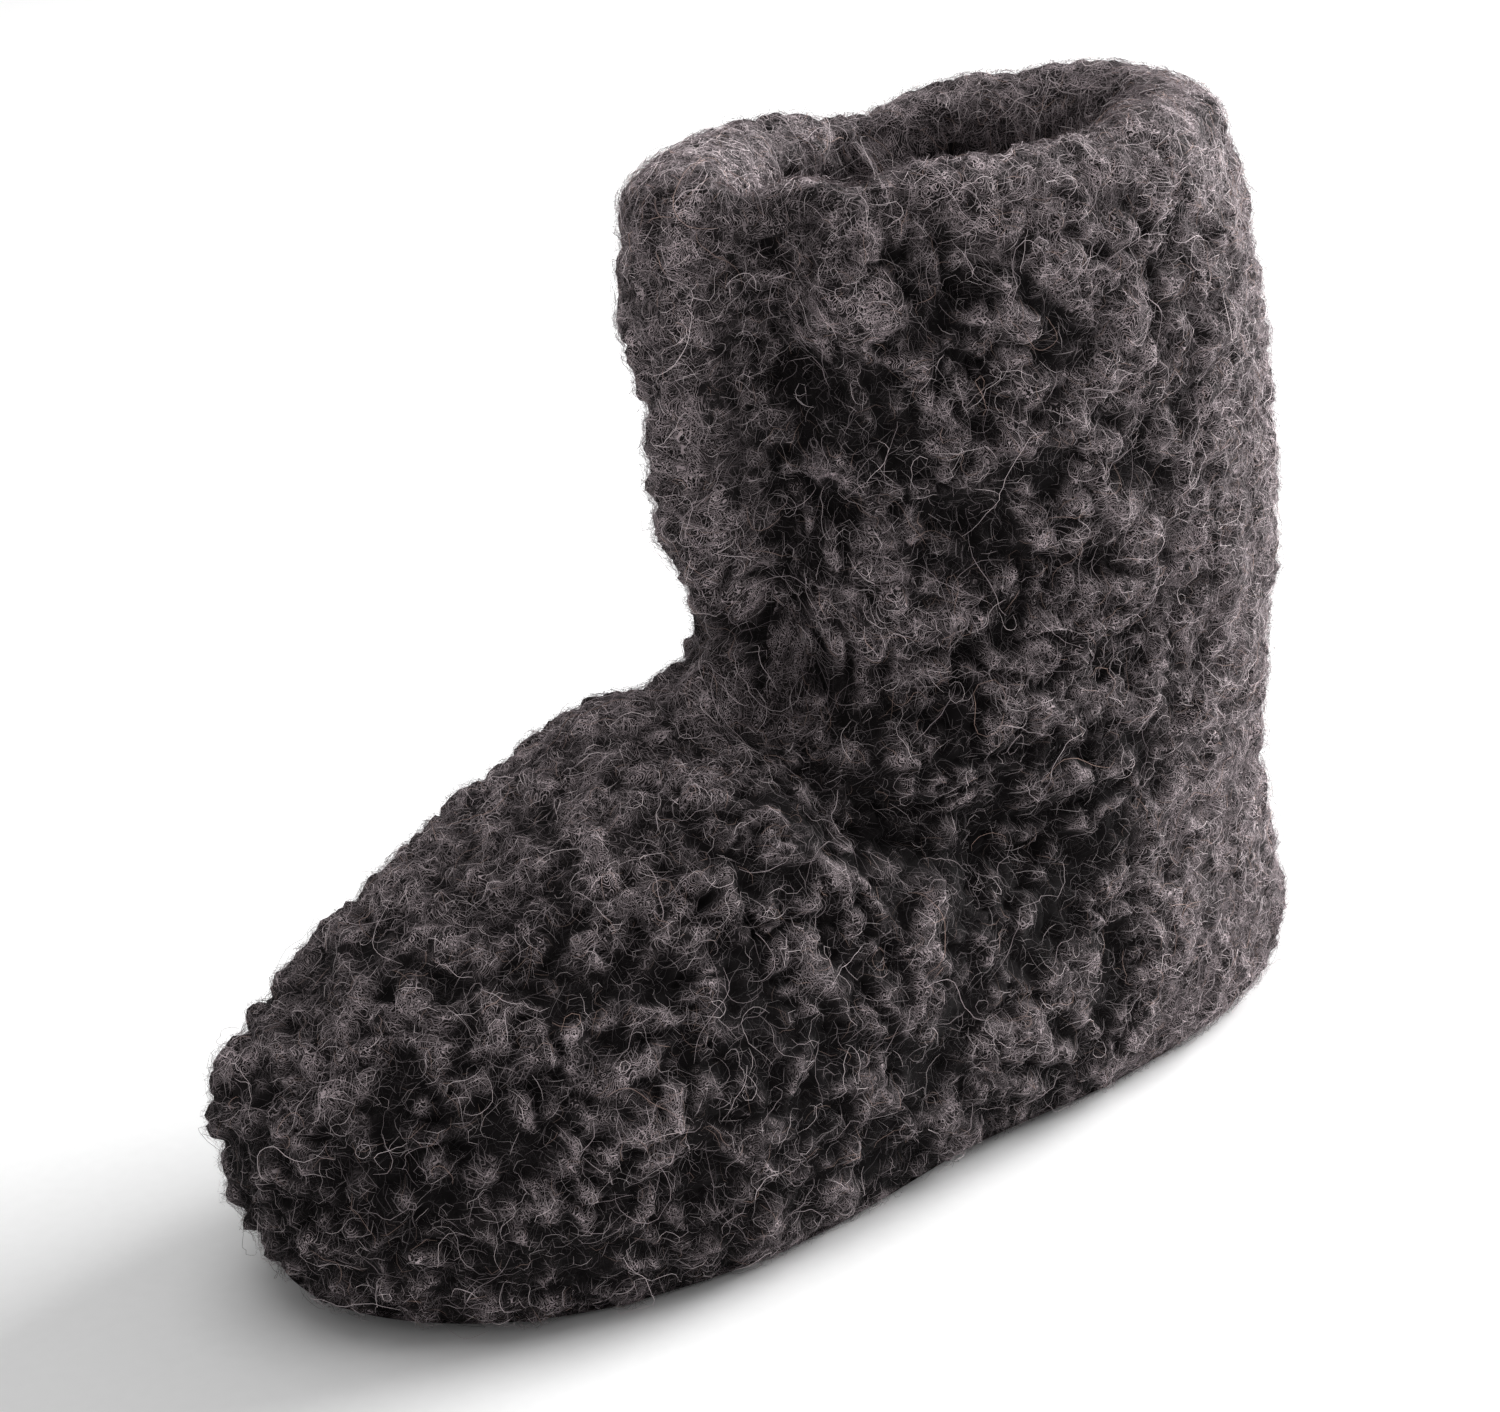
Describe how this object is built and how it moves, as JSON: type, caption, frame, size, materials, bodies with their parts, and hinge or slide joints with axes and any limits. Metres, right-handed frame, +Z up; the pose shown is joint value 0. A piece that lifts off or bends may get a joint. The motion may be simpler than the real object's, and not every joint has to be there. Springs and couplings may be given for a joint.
{
  "type": "boot slipper",
  "caption": "Tall house slipper in dark curly wool fleece with a soft rolled collar, a felt insole and a thin soft sole.",
  "frame": {"origin": "on the floor, under the middle of the slipper's box", "axes": "+Y to the toe, +X to the inner side of the left foot, +Z up"},
  "size_m": [0.1082, 0.27, 0.2088],
  "materials": {
    "upper": "curly wool pile",
    "insole": "felted wool",
    "outsole": "napped suede"
  },
  "bodies": {
    "root": {"upper": "upper", "insole": "insole", "outsole": "outsole"}
  },
  "joints": []
}
